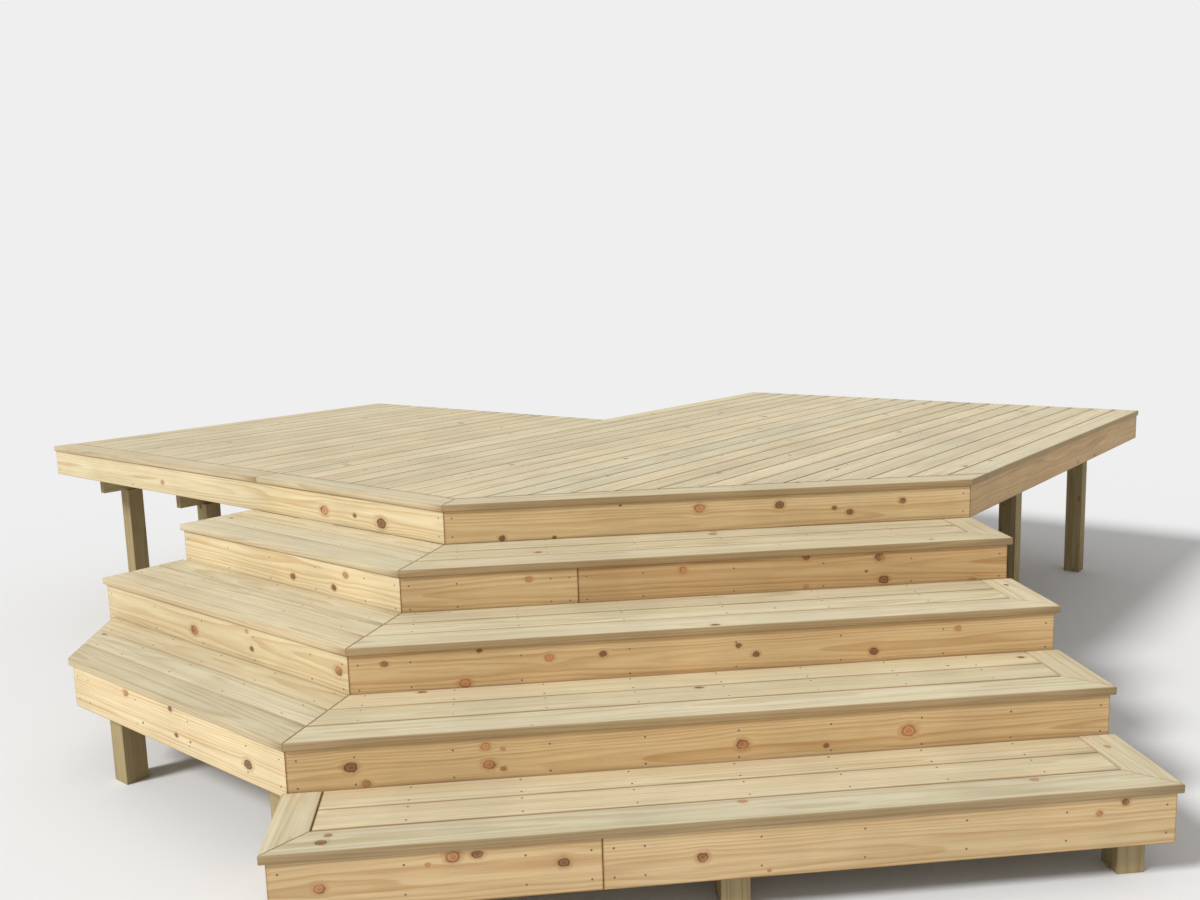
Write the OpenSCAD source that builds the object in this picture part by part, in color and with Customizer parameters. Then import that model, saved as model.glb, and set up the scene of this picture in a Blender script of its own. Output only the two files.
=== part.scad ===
// Timber deck stairs: four box steps climb to the corner of a raised deck.
// The three upper steps turn with the deck's corner and run on along its left edge.
// All sizes are in millimetres. The origin is the foot of the bottom step's left post.

/* [Flight] */
// Length of the flight's front edges, from the deck's corner to the right
flight_l = 2500; // [1800:10:3600]
// Height from one tread to the next
rise = 185; // [160:1:195]
// Height of the bottom tread above the lowest ground
first_rise = 350; // [310:5:600]
// Angle through which the steps turn at the deck's corner
turn = 45; // [30:1:60]
// Length of the wing's front edges, from the deck's corner to the left
wing_l = 1510; // [1300:10:1900]
// How far left of the deck's corner the second step's wing is cut off
wing_cut = 1620; // [1500:10:1900]

/* [Boards] */
// Width of the tread and deck boards
board_w = 140; // [120:1:150]
// Thickness of the tread and deck boards
board_t = 32; // [25:1:40]
// Gap between neighbouring boards
board_gap = 5; // [3:0.5:8]
// Gap at mitres and butt joints
joint_gap = 2; // [1:0.5:4]
// Radius of the boards' eased arrises
ease = 4; // [1:0.5:8]
// How far the treads stand out over the risers
nosing = 10; // [5:1:25]
// How far the treads stand out over the end panels
end_nosing = 20; // [10:1:30]
// Height of the riser boards and end panels
riser_h = 180; // [165:1:184]
// Thickness of the riser boards, end panels and fascia boards
riser_t = 20; // [16:1:25]
// Height of the fascia boards round the deck
fascia_h = 155; // [145:1:180]
// Distance of the bottom riser's butt joint from the deck's corner
bottom_butt = 530; // [400:5:1000]
// Distance of the top riser's butt joint from the deck's corner
top_butt = 575; // [400:5:1000]
// Distance of the left border's butt joint from the deck's corner
left_butt = 1450; // [800:10:2400]

/* [Frame] */
// Height of the joists and bearers
joist_h = 140; // [120:1:150]
// Thickness of the joists and bearers
joist_t = 45; // [35:1:50]
// Largest spacing of the cross joists and deck joists, centre to centre
joist_pitch = 450; // [350:10:600]
// Side of the square posts
post_s = 100; // [75:1:115]
// Largest spacing of the posts, centre to centre
post_pitch = 1500; // [1300:10:2000]
// Space beside the joist that lies under the mitre
mitre_clear = 20; // [10:1:50]

/* [Deck] */
// Width of the deck from its left edge to the wall
left_w = 2750; // [2400:10:3400]
// Number of deck boards from the right edge to the wall
right_boards = 21; // [17:1:24]
// Number of deck boards beside the wall at the left
arm_boards = 17; // [12:1:22]
// Length of the deck's right edge
right_l = 3000; // [2700:10:4000]
// Gap between the deck boards' ends and the wall
wall_gap = 10; // [5:1:20]
// Distance of the bearers from the deck's right edge, the wall and the arm's end
bearer_inset = 300; // [250:10:400]
// How far the bearers stop short of the wall and the deck's cut end
bearer_short = 100; // [60:5:200]
// How far the bearers run on past the faces of their end posts
bearer_over = 150; // [60:5:250]

/* [Hidden] */
STEPS = 4;
DECK = STEPS + 1;
BOARDS = 3;
CUT_STEP = 2;
FLIGHT = 0;
WING = 1;

// Going of a step: its boards and gaps, less the nosing that lies over the step below
going = BOARDS * (board_w + board_gap) - nosing;
// Offsets behind a step's front edge: riser, frame, posts
riser_back = nosing + riser_t;
frame_back = riser_back + joist_t;
post_back = frame_back + post_s;
// A joist or bearer that stands in the middle of those posts
post_seat = frame_back + (post_s - joist_t) / 2;

// Height of a level's walking surface, and of its boards' underside
function top(k) = first_rise + (k - 1) * rise;
function under(k) = top(k) - board_t;
// Offset of a level's front edge in front of the deck's edge
function front(k) = (DECK - k) * going;
// Plan point at distance u along a run and offset a in front of the deck's edge
function at(side, u, a) = side == FLIGHT ? [u, -a]
  : [-u * cos(turn) - a * sin(turn), u * sin(turn) - a * cos(turn)];

// The mitre: where it starts on a line at offset a, half its gap and half a joist measured along a run
half = tan(turn / 2);
function mitre(a) = -a * half;
mitre_gap = joint_gap / 2 / cos(turn / 2);
mitre_joist = joist_t / 2 / cos(turn / 2);

// The boards are sawn from stock that is longer than any of them, by outlines that are wider
stock_l = 4 * (flight_l + right_l);
saw_over = board_gap;

// Left end of the bottom step's box, under the second step's corner, and of its boards
box_left = mitre(front(2) - nosing);
board_left = box_left - end_nosing;
// Where a run starts and ends at offset a, drawn in by a gap or an inset
function run_start(k, a, gap, inset) = k == 1 ? box_left + inset : mitre(a) + gap;
function run_end(k, side, a, inset) = side == FLIGHT ? flight_l - inset
  : k == CUT_STEP ? (wing_cut - inset - a * sin(turn)) / cos(turn) : wing_l - inset;

// Evenly spaced places from a to b, no further apart than pitch
function spaced(a, b, pitch) = let (n = ceil((b - a) / pitch)) [for (i = [0:n]) a + (b - a) * i / n];
// Cross joists' places after a and up to b
function between(a, b) = let (n = ceil((b - a) / joist_pitch)) [for (i = [1:n]) a + (b - a) * i / n];

// Post centres along each run of a level, clear of the joist under the mitre
corner_post = mitre_joist + mitre_clear + post_s / 2;
right_post = flight_l - end_nosing - riser_t - joist_t - post_s / 2;
function flight_posts(k) = spaced(
  k == 1 ? box_left + riser_t + joist_t + post_s / 2 : mitre(front(k) - post_back) + corner_post,
  right_post, post_pitch);
// The last post of the skew-cut wing stands further in
function wing_margin(k) = k == CUT_STEP ? post_s : 0;
function wing_posts(k) = [
  mitre(front(k) - post_back) + corner_post,
  run_end(k, WING, front(k) - frame_back, end_nosing + riser_t + joist_t + post_s / 2) - wing_margin(k)
];

// Moves the deck's corner frame so that the foot of the bottom step's left post is the origin
module placed() translate([-flight_posts(1)[0], front(1) - frame_back - post_s / 2, 0]) children();

// Upright slab over a plan outline
module slab(z, h, outline) placed() translate([0, 0, z]) linear_extrude(h) polygon(outline);

// Section of a board, from its outer edge inwards, with its four arrises rounded
module board_section() {
  translate([ease, 0]) square([board_w - 2 * ease, board_t]);
  translate([0, ease]) square([board_w, board_t - 2 * ease]);
  for (y = [ease, board_w - ease], z = [ease, board_t - ease])
    translate([y, z]) circle(ease, $fn = 24);
}

// Board sawn from a long length that lies along a line from a plan point, at an angle to the flight.
// The saw cuts are the ends of an outline that is wider than the board.
module board(k, start, angle, cut) color("#c9c4a0") intersection() {
  placed() translate([start[0], start[1], under(k)]) rotate([90, 0, 90 + angle])
    translate([0, 0, -stock_l / 2]) linear_extrude(stock_l) board_section();
  slab(under(k) - ease, board_t + 2 * ease, cut);
}

// Outline of a strip along one run between two offsets, mitred at the corner and cut at its end
function strip(k, side, a_in, a_out, inset = 0, left = 0) = [
  at(side, run_start(k, a_out, mitre_gap, left), a_out), at(side, run_end(k, side, a_out, inset), a_out),
  at(side, run_end(k, side, a_in, inset), a_in), at(side, run_start(k, a_in, mitre_gap, left), a_in)
];

// Outline of a length of a strip between two distances along a run
function length(side, u_a, u_b, a_in, a_out) =
  [at(side, u_a, a_out), at(side, u_b, a_out), at(side, u_b, a_in), at(side, u_a, a_in)];

// Outline of a piece across the end of a run, from an inset to its thickness further in
function across_end(k, side, a_in, a_out, inset, t) = [
  at(side, run_end(k, side, a_out, inset + t), a_out), at(side, run_end(k, side, a_out, inset), a_out),
  at(side, run_end(k, side, a_in, inset), a_in), at(side, run_end(k, side, a_in, inset + t), a_in)
];

// Square post on its foot, its outer face at an offset
module post(side, u, a_out, h) color("#a08458")
  slab(0, h, length(side, u - post_s / 2, u + post_s / 2, a_out - post_s, a_out));

// Boards of a flight, numbered from the front edge. The front board is mitred into the end boards.
module flight_boards(k)
  for (i = [0:BOARDS - 1]) {
    a = front(k) - i * (board_w + board_gap);
    a_out = a + saw_over;
    a_in = a - board_w - saw_over;
    board(k, [0, -a], 0, [
      [board_start(k, i, a_out), -a_out], [board_stop(k, i, a_out), -a_out],
      [board_stop(k, i, a_in), -a_in], [board_start(k, i, a_in), -a_in]
    ]);
  }
// Where a flight's board starts and stops at offset a
function board_start(k, i, a) = k > 1 ? mitre(a) + mitre_gap
  : i == 0 ? board_left + mitre_gap + front(k) - a : board_left + board_w + board_gap;
function board_stop(k, i, a) = flight_l - (i == 0 ? mitre_gap + front(k) - a : board_w + board_gap);

module wing_boards(k)
  for (i = [0:BOARDS - 1]) {
    a = front(k) - i * (board_w + board_gap);
    board(k, at(WING, 0, a), -turn, strip(k, WING, a - board_w - saw_over, a + saw_over));
  }

// Boards across a flight's ends, mitred with the front board. Only the bottom step has one at its left.
module end_boards(k) {
  a = front(k) - mitre_gap;
  a_in = front(k) - going - nosing + board_gap;
  far = board_w + saw_over;
  board(k, [flight_l, 0], 90, [
    [flight_l + saw_over, -a - saw_over], [flight_l + saw_over, -a_in],
    [flight_l - far, -a_in], [flight_l - far, -a + far]
  ]);
  if (k == 1) board(k, [board_left, 0], -90, [
    [board_left - saw_over, -a - saw_over], [board_left + far, -a + far],
    [board_left + far, -a_in], [board_left - saw_over, -a_in]
  ]);
}

// Riser boards hang from the boards' underside, in two lengths where a butt joint shows
module riser(k) color("#c89a62") {
  z = under(k) - riser_h;
  a_out = front(k) - nosing;
  a_in = a_out - riser_t;
  if (k == 1 || k == STEPS) {
    butt = k == 1 ? bottom_butt : top_butt;
    slab(z, riser_h, [
      [run_start(k, a_out, mitre_gap, 0), -a_out], [butt, -a_out],
      [butt, -a_in], [run_start(k, a_in, mitre_gap, 0), -a_in]
    ]);
    slab(z, riser_h, length(FLIGHT, butt + joint_gap, flight_l - end_nosing, a_in, a_out));
  } else slab(z, riser_h, strip(k, FLIGHT, a_in, a_out, end_nosing));
}

module wing_riser(k) color("#c89a62")
  slab(under(k) - riser_h, riser_h, strip(k, WING, front(k) - riser_back, front(k) - nosing, end_nosing));

// Panels that close the ends of a step's box, behind the risers
module end_panels(k) color("#c89a62") {
  z = under(k) - riser_h;
  a_out = front(k) - riser_back;
  a_in = front(k) - going - frame_back;
  slab(z, riser_h, across_end(k, FLIGHT, a_in, a_out, end_nosing, riser_t));
  if (k == 1) slab(z, riser_h, length(FLIGHT, box_left, box_left + riser_t, a_in, a_out));
  else slab(z, riser_h, across_end(k, WING, a_in, a_out, end_nosing, riser_t));
}

// Joists along a step's front and back. The back joist lies under the next step's front joist.
module joists(k) color("#b08a58") {
  z = under(k) - joist_h;
  inset = end_nosing + riser_t;
  for (a_in = [front(k) - frame_back, front(k) - going - frame_back]) {
    slab(z, joist_h, strip(k, FLIGHT, a_in, a_in + joist_t, inset, riser_t));
    if (k > 1) slab(z, joist_h, strip(k, WING, a_in, a_in + joist_t, inset));
  }
}

// Cross joists carry the boards between the front and back joists, clear of the posts
module cross_joists(k) color("#b08a58") {
  z = under(k) - joist_h;
  a_out = front(k) - frame_back;
  a_in = front(k) - going - riser_back;
  inset = end_nosing + riser_t;
  last = flight_l - inset - joist_t;
  posts = flight_posts(k);
  first = k == 1 ? box_left + riser_t : posts[0] + post_s / 2;
  slab(z, joist_h, length(FLIGHT, first, first + joist_t, a_in, a_out));
  for (i = [1:len(posts) - 1]) {
    from = i == 1 ? first : posts[i - 1] + post_s / 2;
    to = i == len(posts) - 1 ? last : posts[i] + post_s / 2;
    for (u = between(from, to)) slab(z, joist_h, length(FLIGHT, u, u + joist_t, a_in, a_out));
  }
  if (k > 1) {
    hip_joist(a_in, a_out, z);
    wing = wing_posts(k);
    from = wing[0] + post_s / 2;
    to = wing[1] + post_s / 2;
    slab(z, joist_h, length(WING, from, from + joist_t, a_in, a_out));
    for (u = between(from, to)) {
      if (u < to) slab(z, joist_h, length(WING, u, u + joist_t, a_in, a_out));
    }
    slab(z, joist_h, across_end(k, WING, a_in, a_out, inset, joist_t));
  }
}

// Joist under a step's mitre. Its ends are cut to both runs, so it seats on the corners of the joists.
module hip_joist(a_in, a_out, z)
  slab(z, joist_h, [
    at(FLIGHT, mitre(a_out) + mitre_joist, a_out), at(FLIGHT, mitre(a_in) + mitre_joist, a_in),
    at(FLIGHT, mitre(a_in), a_in), at(WING, mitre(a_in) + mitre_joist, a_in),
    at(WING, mitre(a_out) + mitre_joist, a_out), at(FLIGHT, mitre(a_out), a_out)
  ]);

// Posts stand behind a step's front joist and reach its boards
module posts(k) {
  for (u = flight_posts(k)) post(FLIGHT, u, front(k) - frame_back, under(k));
  if (k > 1) for (u = wing_posts(k)) post(WING, u, front(k) - frame_back, under(k));
}

// The deck has its own axes: p runs in from its left edge and q runs along that edge
function on_deck(p, q) = [p * sin(turn) - q * cos(turn), p * cos(turn) + q * sin(turn)];
row = board_w + board_gap;
p_end = flight_l * sin(turn) + right_l;
q_right = -flight_l * cos(turn);
q_wall = q_right + right_boards * row - board_gap + wall_gap;
q_end = q_wall + arm_boards * row;
deck_under = under(DECK);
joist_z = deck_under - joist_h;
bearer_z = joist_z - joist_h;

// Where the line at a distance behind the front edge crosses a given q, or a given p
function front_p(q, back) = (back - q * sin(turn)) / cos(turn);
function front_q(p, back) = (back - p * cos(turn)) / sin(turn);
// Start of a row across the deck at q, at a distance behind both the front and the left edge
function row_start(q, back) = max(back, front_p(q, back));

// Outline between two p and two q values
function deck_box(p_a, p_b, q_a, q_b) =
  [on_deck(p_a, q_a), on_deck(p_b, q_a), on_deck(p_b, q_b), on_deck(p_a, q_b)];

// Outline of a row along p, from behind the front and left edges to a given p
function deck_row(q_a, q_b, back, p_b) = concat(
  [on_deck(row_start(q_a, back), q_a)],
  q_a < back * half && back * half < q_b ? [on_deck(back, back * half)] : [],
  [on_deck(row_start(q_b, back), q_b), on_deck(p_b, q_b), on_deck(p_b, q_a)]
);

// Outline of a joist along q that starts at p, from behind the front and right rims to a given q
function deck_column(p, q_b) = let (
  q_low = q_right + frame_back,
  corner = front_p(q_low, frame_back),
  p_b = p + joist_t
) concat(
  [on_deck(p, max(q_low, front_q(p, frame_back)))],
  p < corner && corner < p_b ? [on_deck(corner, q_low)] : [],
  [on_deck(p_b, max(q_low, front_q(p_b, frame_back))), on_deck(p_b, q_b), on_deck(p, q_b)]
);

// Deck boards lie side by side from the right edge, cut to the borders and the walls
module deck_boards()
  for (i = [0:right_boards + arm_boards - 1]) {
    q = q_right + i * row;
    board(DECK, on_deck(0, q), 90 - turn,
      deck_row(q - saw_over, q + board_w + saw_over, row, i < right_boards ? p_end : left_w - wall_gap));
  }

// Boards along the front and left edges, mitred at the corner. The left one is in two lengths.
module deck_border() {
  a_in = -board_w - saw_over;
  board(DECK, [0, 0], 0, [
    at(FLIGHT, mitre(saw_over) + mitre_gap, saw_over), on_deck(front_p(q_right, -saw_over), q_right),
    on_deck(front_p(q_right, -a_in), q_right), at(FLIGHT, mitre(a_in) + mitre_gap, a_in)
  ]);
  board(DECK, [0, 0], -turn, [
    at(WING, mitre(saw_over) + mitre_gap, saw_over), at(WING, left_butt - joint_gap, saw_over),
    at(WING, left_butt - joint_gap, a_in), at(WING, mitre(a_in) + mitre_gap, a_in)
  ]);
  board(DECK, [0, 0], -turn, deck_box(-saw_over, -a_in, left_butt, q_end));
}

// Outline of a fascia or rim behind the deck's front edge, from the mitre to a line near the right edge
function front_edge(back_a, back_b, q_a, q_b) = [
  at(FLIGHT, mitre(-back_a) + mitre_gap, -back_a), on_deck(front_p(q_a, back_a), q_a),
  on_deck(front_p(q_b, back_b), q_b), at(FLIGHT, mitre(-back_b) + mitre_gap, -back_b)
];
// The same behind the left edge, from the mitre to a given q
function left_edge(back_a, back_b, q) = [
  at(WING, mitre(-back_a) + mitre_gap, -back_a), at(WING, q, -back_a),
  at(WING, q, -back_b), at(WING, mitre(-back_b) + mitre_gap, -back_b)
];
// The same behind the right edge, from the front edge's line to a given p
function right_edge(back_a, back_b, gap, p) = [
  on_deck(front_p(q_right + back_a, back_a) + gap, q_right + back_a), on_deck(p, q_right + back_a),
  on_deck(p, q_right + back_b), on_deck(front_p(q_right + back_b, back_b) + gap, q_right + back_b)
];

module deck_fascia() color("#c89a62") {
  z = deck_under - fascia_h;
  slab(z, fascia_h, front_edge(nosing, riser_back, q_right + nosing, q_right + riser_back));
  slab(z, fascia_h, left_edge(nosing, riser_back, q_end));
  slab(z, fascia_h, right_edge(nosing, riser_back, joint_gap, p_end));
}

// Joists behind the fascia boards and across the deck's cut ends
module deck_rims() color("#b08a58") {
  q_in = q_right + frame_back;
  p_cut = p_end - joist_t;
  q_cut = q_end - joist_t;
  slab(joist_z, joist_h, front_edge(riser_back, frame_back, q_in + joint_gap, q_in + joint_gap));
  slab(joist_z, joist_h, left_edge(riser_back, frame_back, q_cut - joint_gap));
  slab(joist_z, joist_h, [
    on_deck(front_p(q_right + riser_back, riser_back), q_right + riser_back),
    on_deck(p_cut - joint_gap, q_right + riser_back),
    on_deck(p_cut - joint_gap, q_in), on_deck(front_p(q_in, riser_back), q_in)
  ]);
  slab(joist_z, joist_h, deck_box(p_cut, p_end, q_right + riser_back, q_wall - joist_t));
  slab(joist_z, joist_h, deck_box(riser_back, left_w - joist_t, q_cut, q_end));
}

// Joists cross under the deck boards, between the rims and the walls.
// The one in line with the wall at the left runs on to the walls' corner.
module deck_joists() color("#b08a58") {
  corner = left_w - joist_t;
  under_arm = spaced(post_seat, corner, joist_pitch);
  beside = spaced(corner, p_end - joist_t, joist_pitch);
  for (i = [0:len(under_arm) - 2]) slab(joist_z, joist_h, deck_column(under_arm[i], q_end - joist_t));
  slab(joist_z, joist_h, deck_column(corner, q_wall));
  for (i = [1:len(beside) - 2]) slab(joist_z, joist_h, deck_column(beside[i], q_wall - joist_t));
}

// Bearers stand under the joists: one on the front posts, the others across the deck
bearer_back = post_seat + joist_t + joint_gap;
bearer_q = [
  q_right + bearer_inset, (q_right + q_wall) / 2, q_wall - bearer_inset,
  (q_wall + q_end) / 2, q_end - bearer_inset
];
function bearer_end(q) = (q > q_wall ? left_w : p_end) - bearer_short;

module deck_bearers() color("#b08a58") {
  from = flight_posts(DECK)[0] - post_s / 2;
  slab(bearer_z, joist_h, length(FLIGHT, from, right_post + post_s / 2, -post_seat - joist_t, -post_seat));
  for (q = bearer_q)
    slab(bearer_z, joist_h, deck_row(q - joist_t / 2, q + joist_t / 2, bearer_back, bearer_end(q)));
}

// Posts under the bearers
module deck_posts() color("#a08458") {
  inset = bearer_over + post_s / 2;
  for (q = bearer_q, p = spaced(row_start(q, bearer_back) + inset, bearer_end(q) - inset, post_pitch))
    slab(0, bearer_z, deck_box(p - post_s / 2, p + post_s / 2, q - post_s / 2, q + post_s / 2));
}

// Posts along the deck's corner, which also hold the top step's back joists
module deck_front_posts() {
  for (u = flight_posts(DECK)) post(FLIGHT, u, -frame_back, bearer_z);
  for (u = wing_posts(DECK)) post(WING, u, -frame_back, joist_z);
}

// Ledgers are fastened to the two walls and stop short of the walls' corner
module deck_left_ledger() color("#b08a58")
  slab(joist_z, joist_h, deck_box(left_w - joist_t, left_w, q_wall + joint_gap, q_end));

module deck_right_ledger() color("#b08a58")
  slab(joist_z, joist_h, deck_box(left_w + joint_gap, p_end, q_wall - joist_t, q_wall));

flight_boards(1);  // step_1_boards
end_boards(1);  // step_1_end_boards
riser(1);  // step_1_riser
end_panels(1);  // step_1_end_panels
joists(1);  // step_1_joists
cross_joists(1);  // step_1_cross_joists
posts(1);  // step_1_posts
flight_boards(2);  // step_2_boards
wing_boards(2);  // step_2_wing_boards
end_boards(2);  // step_2_end_board
riser(2);  // step_2_riser
wing_riser(2);  // step_2_wing_riser
end_panels(2);  // step_2_end_panels
joists(2);  // step_2_joists
cross_joists(2);  // step_2_cross_joists
posts(2);  // step_2_posts
flight_boards(3);  // step_3_boards
wing_boards(3);  // step_3_wing_boards
end_boards(3);  // step_3_end_board
riser(3);  // step_3_riser
wing_riser(3);  // step_3_wing_riser
end_panels(3);  // step_3_end_panels
joists(3);  // step_3_joists
cross_joists(3);  // step_3_cross_joists
posts(3);  // step_3_posts
flight_boards(4);  // step_4_boards
wing_boards(4);  // step_4_wing_boards
end_boards(4);  // step_4_end_board
riser(4);  // step_4_riser
wing_riser(4);  // step_4_wing_riser
end_panels(4);  // step_4_end_panels
joists(4);  // step_4_joists
cross_joists(4);  // step_4_cross_joists
posts(4);  // step_4_posts
deck_boards();
deck_border();
deck_fascia();
deck_rims();
deck_joists();
deck_bearers();
deck_posts();
deck_front_posts();
deck_left_ledger();
deck_right_ledger();
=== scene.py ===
# %% [markdown]
# # Timber deck stairs
# Four box steps climb to the corner of a raised deck. All of it is lengths of pine and the nails that hold
# them. Treads and deck boards lie flat with rounded arrises, risers and fascia boards stand on edge, and
# rough-sawn joists, bearers and posts carry them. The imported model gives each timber's place and its saw
# cuts. This script measures those, and then makes each timber again with its own arrises, grain and knots.

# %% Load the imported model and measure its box
import math

import bpy
import numpy as np
from mathutils import Matrix, Vector


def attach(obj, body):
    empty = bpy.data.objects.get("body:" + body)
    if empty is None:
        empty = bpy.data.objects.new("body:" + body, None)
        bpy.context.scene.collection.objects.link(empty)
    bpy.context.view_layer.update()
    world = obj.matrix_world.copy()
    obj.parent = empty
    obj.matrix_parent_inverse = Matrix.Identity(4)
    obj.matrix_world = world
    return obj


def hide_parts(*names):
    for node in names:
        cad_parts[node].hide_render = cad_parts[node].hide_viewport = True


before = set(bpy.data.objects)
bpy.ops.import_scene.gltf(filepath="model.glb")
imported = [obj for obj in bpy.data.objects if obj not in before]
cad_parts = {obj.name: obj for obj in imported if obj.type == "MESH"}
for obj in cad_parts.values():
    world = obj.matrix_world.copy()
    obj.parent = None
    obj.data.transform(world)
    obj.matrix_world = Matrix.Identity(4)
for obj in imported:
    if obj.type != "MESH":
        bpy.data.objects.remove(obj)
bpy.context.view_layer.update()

# %% [markdown]
# ## Finding the timbers
# A node holds several timbers, and its mesh is loose triangles. Triangles that share a corner belong to the
# same timber, so every corner is given a label, and the lowest label of each triangle spreads to its three
# corners until nothing changes. Each label that is left is one timber. Reading the places this way means
# that no size is typed twice: if the model changes, the timbers here follow it.

# %% Split a node into its timbers
DECIMALS = 5


def timber_points(node):
    """One array of corner points for each timber of a node, in metres. Corners that agree to DECIMALS places
    count as one."""
    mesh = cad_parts[node].data
    corners = np.empty(len(mesh.vertices) * 3)
    mesh.vertices.foreach_get("co", corners)
    mesh.calc_loop_triangles()
    triangles = np.empty(len(mesh.loop_triangles) * 3, int)
    mesh.loop_triangles.foreach_get("vertices", triangles)
    rounded = np.round(corners.reshape(-1, 3), DECIMALS)
    points, index = np.unique(rounded, axis=0, return_inverse=True)
    triangles = index.ravel()[triangles].reshape(-1, 3)
    label = np.arange(len(points))
    while True:
        lowest = label.copy()
        np.minimum.at(lowest, triangles.ravel(), np.repeat(label[triangles].min(axis=1), 3))
        lowest = lowest[lowest]
        if (lowest == label).all():
            return [points[label == k] for k in np.unique(label)]
        label = lowest


print("deck boards found:", len(timber_points("deck_boards")))

# %% [markdown]
# ## The outline in plan
# Seen from above, the outline of a timber here is convex. Only three hip joists have a shallow notch in one
# end, and it is closed here, because it lies out of sight below the treads. A convex outline can be found
# by trying each pair of corner points: a pair lies on one side of it when all the other points are on one
# hand of it. A timber has some dozens of points in plan, because its arrises are round, and arrays try all
# the pairs at once.

# %% Find the sides of an outline
ROUNDING = 2e-5
SHORTEST = 10 * ROUNDING


def outline(plan):
    """All pairs of points i and j that lie on one side of a convex outline. They do when no point k lies to
    the right of them, which is when the cross product of j - i and k - i is nowhere negative."""
    way = plan[None] - plan[:, None]
    length = np.linalg.norm(way, axis=2)
    cross = way[:, :, None, 0] * way[:, None, :, 1] - way[:, :, None, 1] * way[:, None, :, 0]
    return np.nonzero((length > SHORTEST) & (cross.min(axis=2) >= -ROUNDING * length))


plan = np.unique(timber_points("step_2_boards")[0][:, :2], axis=0)
on_outline = len(np.unique(outline(plan)))
print("a tread board has", len(plan), "points in plan, and", on_outline, "lie on its outline")

# %% [markdown]
# ## Measuring one timber
# A carpenter marks a timber by its length, its width and its two saw cuts. In plan it has two long sides
# that face each other, and the cuts between them may go any way. So of all the pairs of sides that face
# each other, the timber runs along the one whose shorter side is the longest. A post runs straight up. In
# the timber's own axes, s runs along it, t across it and c through it, which is upwards for all but the
# posts. A mitre makes s at the cut depend on t, so each end is kept as a curve of s over t, read from the
# corner points.

# %% Measure a timber's axes and saw cuts
OPPOSITE = -0.99999
STRAIGHT_BACK = 0.01
ON_EDGE = 1e-4


class Timber:
    """A timber's axes as rows (along, across, through), its size, and its two ends as curves of s over t. A
    corner is on the first cut where its s is under the middle of the timber's length, else on the second."""

    def __init__(self, points):
        plan = np.unique(points[:, :2], axis=0)
        i, j = outline(plan)
        side = plan[j] - plan[i]
        length = np.linalg.norm(side, axis=1)
        side /= length[:, None]
        facing = np.where(side @ side.T < OPPOSITE, length, 0).max(axis=1)
        x, y = side[np.argmax(np.minimum(length, facing))]
        if x < -STRAIGHT_BACK or (abs(x) <= STRAIGHT_BACK and y < 0):
            x, y = -x, -y
        tall = np.ptp(points[:, 2]) > np.ptp(plan @ [x, y])
        along, across, up = [x, y, 0], [-y, x, 0], [0, 0, 1]
        self.axes = np.array([up, along, across] if tall else [along, across, up])
        self.middle = points.mean(axis=0)
        s, t, c = (points @ self.axes.T).T
        self.t0, self.c0 = t.min(), c.min()
        self.width, self.depth = np.ptp(t), np.ptp(c)
        corner = np.unique(np.column_stack([t - self.t0, s]), axis=0)
        corner = corner[np.unique(outline(corner)[0])]
        first, last = (s[abs(t - self.t0 - edge) < ON_EDGE] for edge in (0, self.width))
        halfway = [(edge.min() + edge.max()) / 2 for edge in (first, last)]
        middle = np.interp(corner[:, 0], [0, self.width], halfway)
        self.start, self.stop = corner[corner[:, 1] <= middle], corner[corner[:, 1] >= middle]

    def ends(self, t):
        """s at the two saw cuts, at distances t across."""
        return [np.interp(t, cut[:, 0], cut[:, 1]) for cut in (self.start, self.stop)]

    def corners(self, arris):
        """Distances across at which a saw cut changes direction, away from the arrises."""
        t = np.concatenate([self.start[:, 0], self.stop[:, 0]])
        return t[(t > 2 * arris) & (t < self.width - 2 * arris)]

    def place(self, s, t, c):
        """Points in the model's frame from s, and from t and c measured from the timber's lowest edges."""
        return np.stack([s, t + self.t0, c + self.c0], axis=-1) @ self.axes


def timbers(node):
    """The timbers of a node, measured."""
    return [Timber(points) for points in timber_points(node)]


sample = timbers("step_2_boards")[0]
print("a tread board of step 2 is", np.round([sample.width, sample.depth], 3), "m in section")

# %% [markdown]
# ## A timber as a carried section
# A planed board is a section pushed along its length, so that is how it is made here: a rounded rectangle
# is carried from the first saw cut to the second. The section's upper and lower lines share their distances
# across, which lets the cut ends be closed by quads between them, also where an end has two cuts. A real
# board is never quite straight, so a fraction of a millimetre of cup, bow and crook is added. Over the last
# 0.8 mm before each cut the section is drawn in by as much, which is the edge that sandpaper takes off
# after sawing.

# %% The section and the carried surface
ROUND_STEPS = 3
FLAT_LINES = 5
RINGS = 13
SANDED = 0.0008
TREAD_ARRIS = 0.004


def section(timber, arris):
    """Distances across, and the drop of the surface there, which is arris * (1 - sin) over the round and
    nothing between."""
    turn = np.linspace(0, math.pi / 2, ROUND_STEPS + 1)
    rim, drop = arris * (1 - np.cos(turn)), arris * (1 - np.sin(turn))
    flat = np.union1d(np.linspace(arris, timber.width - arris, FLAT_LINES)[1:-1], timber.corners(arris))
    across = np.concatenate([rim, flat, timber.width - rim[::-1]])
    return across, np.concatenate([drop, np.zeros(len(flat)), drop[::-1]])


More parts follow.
